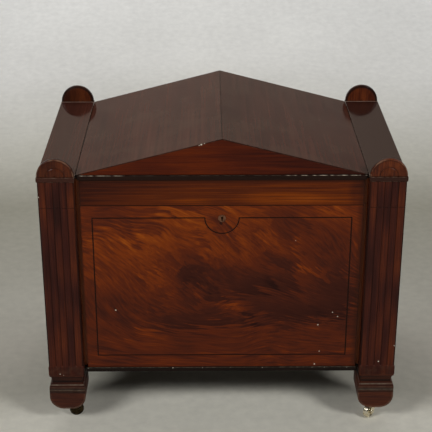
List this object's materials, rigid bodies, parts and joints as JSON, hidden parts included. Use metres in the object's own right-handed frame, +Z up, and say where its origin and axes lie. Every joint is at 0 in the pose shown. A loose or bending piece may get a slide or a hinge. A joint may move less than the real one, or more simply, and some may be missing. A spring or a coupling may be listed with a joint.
{
  "type": "cellarette",
  "caption": "Free-standing bottle chest with a hinged gabled lid, reeded corner posts, half-disc corner crests, lobed feet and brass castors.",
  "frame": {"origin": "on the floor under the middle of the object", "axes": "+Z up, -Y towards the front with the keyhole, +X to the right seen from the front"},
  "size_m": [0.723, 0.469, 0.6415],
  "materials": {
    "figured_mahogany": "French-polished flame mahogany veneer",
    "plain_mahogany": "French-polished straight-grained mahogany",
    "dark_mahogany": "French-polished dark mahogany",
    "polished_mahogany": "high-gloss polished mahogany",
    "ebonised_wood": "ebonised, with worn edges",
    "baize": "thin boards covered with green baize",
    "zinc": "dull sheet zinc",
    "brass": "polished brass",
    "dark_brass": "tarnished brass",
    "castor_brass": "cast brass, worn bright"
  },
  "bodies": {
    "case": {"front_board": "figured_mahogany", "back_board": "plain_mahogany", "end_board_left": "plain_mahogany", "end_board_right": "plain_mahogany", "end_block_left": "plain_mahogany", "end_block_right": "plain_mahogany", "post_front_left": "dark_mahogany", "post_front_right": "dark_mahogany", "post_rear_left": "dark_mahogany", "post_rear_right": "dark_mahogany", "foot_front_left": "dark_mahogany", "foot_front_right": "dark_mahogany", "foot_rear_left": "dark_mahogany", "foot_rear_right": "dark_mahogany", "base_board": "ebonised_wood", "string_inlay": "ebonised_wood", "cross_divider_1": "baize", "cross_divider_2": "baize", "cross_divider_3": "baize", "long_divider_1": "baize", "long_divider_2": "baize", "well_liner": "zinc", "keyhole_plate": "brass", "hinge_case_leaf_left": "brass", "hinge_case_leaf_right": "brass", "lock_case": "dark_brass", "hinge_pin_left": "dark_brass", "hinge_pin_right": "dark_brass"},
    "lid": {"lid_front_board": "plain_mahogany", "lid_back_board": "plain_mahogany", "gable_front": "plain_mahogany", "gable_rear": "plain_mahogany", "lid_end_left": "plain_mahogany", "lid_end_right": "plain_mahogany", "lid_head_front_left": "dark_mahogany", "lid_head_front_right": "dark_mahogany", "lid_head_rear_left": "dark_mahogany", "lid_head_rear_right": "dark_mahogany", "half_disc_front_left": "dark_mahogany", "half_disc_front_right": "dark_mahogany", "half_disc_rear_left": "dark_mahogany", "half_disc_rear_right": "dark_mahogany", "cap_left": "polished_mahogany", "cap_right": "polished_mahogany", "roof_left": "polished_mahogany", "roof_right": "polished_mahogany", "lid_board": "ebonised_wood", "strike_plate": "brass", "hinge_lid_leaf_left": "brass", "hinge_lid_leaf_right": "brass"},
    "bolt": {"lock_bolt": "brass"},
    "castor_front_left": {"castor_horn_front_left": "castor_brass"},
    "wheel_front_left": {"castor_wheel_front_left": "castor_brass"},
    "castor_front_right": {"castor_horn_front_right": "castor_brass"},
    "wheel_front_right": {"castor_wheel_front_right": "castor_brass"},
    "castor_rear_left": {"castor_horn_rear_left": "castor_brass"},
    "wheel_rear_left": {"castor_wheel_rear_left": "castor_brass"},
    "castor_rear_right": {"castor_horn_rear_right": "castor_brass"},
    "wheel_rear_right": {"castor_wheel_rear_right": "castor_brass"}
  },
  "joints": [
    {"name": "lid_hinge", "type": "hinge", "parent": "case", "child": "lid", "pos_m": [0, 0.2298, 0.50215], "axis": [-1, 0, 0], "range_deg": [0, 95]},
    {"name": "lock_bolt_slide", "type": "slide", "parent": "case", "child": "bolt", "axis": [0, 0, 1], "range_m": [0, 0.007]},
    {"name": "castor_swivel_front_left", "type": "hinge", "parent": "case", "child": "castor_front_left", "pos_m": [-0.324, -0.197, 0.04], "axis": [0, 0, 1], "continuous": true},
    {"name": "castor_wheel_spin_front_left", "type": "hinge", "parent": "castor_front_left", "child": "wheel_front_left", "pos_m": [-0.31144, -0.19364, 0.015], "axis": [-0.2588, 0.9659, 0], "continuous": true},
    {"name": "castor_swivel_front_right", "type": "hinge", "parent": "case", "child": "castor_front_right", "pos_m": [0.324, -0.197, 0.04], "axis": [0, 0, 1], "continuous": true},
    {"name": "castor_wheel_spin_front_right", "type": "hinge", "parent": "castor_front_right", "child": "wheel_front_right", "pos_m": [0.316, -0.20724, 0.015], "axis": [0.788, -0.6157, 0], "continuous": true},
    {"name": "castor_swivel_rear_left", "type": "hinge", "parent": "case", "child": "castor_rear_left", "pos_m": [-0.324, 0.1895, 0.04], "axis": [0, 0, 1], "continuous": true},
    {"name": "castor_wheel_spin_rear_left", "type": "hinge", "parent": "castor_rear_left", "child": "wheel_rear_left", "pos_m": [-0.31434, 0.1808, 0.015], "axis": [0.6691, 0.7431, 0], "continuous": true},
    {"name": "castor_swivel_rear_right", "type": "hinge", "parent": "case", "child": "castor_rear_right", "pos_m": [0.324, 0.1895, 0.04], "axis": [0, 0, 1], "continuous": true},
    {"name": "castor_wheel_spin_rear_right", "type": "hinge", "parent": "castor_rear_right", "child": "wheel_rear_right", "pos_m": [0.31144, 0.19287, 0.015], "axis": [-0.2588, -0.9659, 0], "continuous": true}
  ]
}
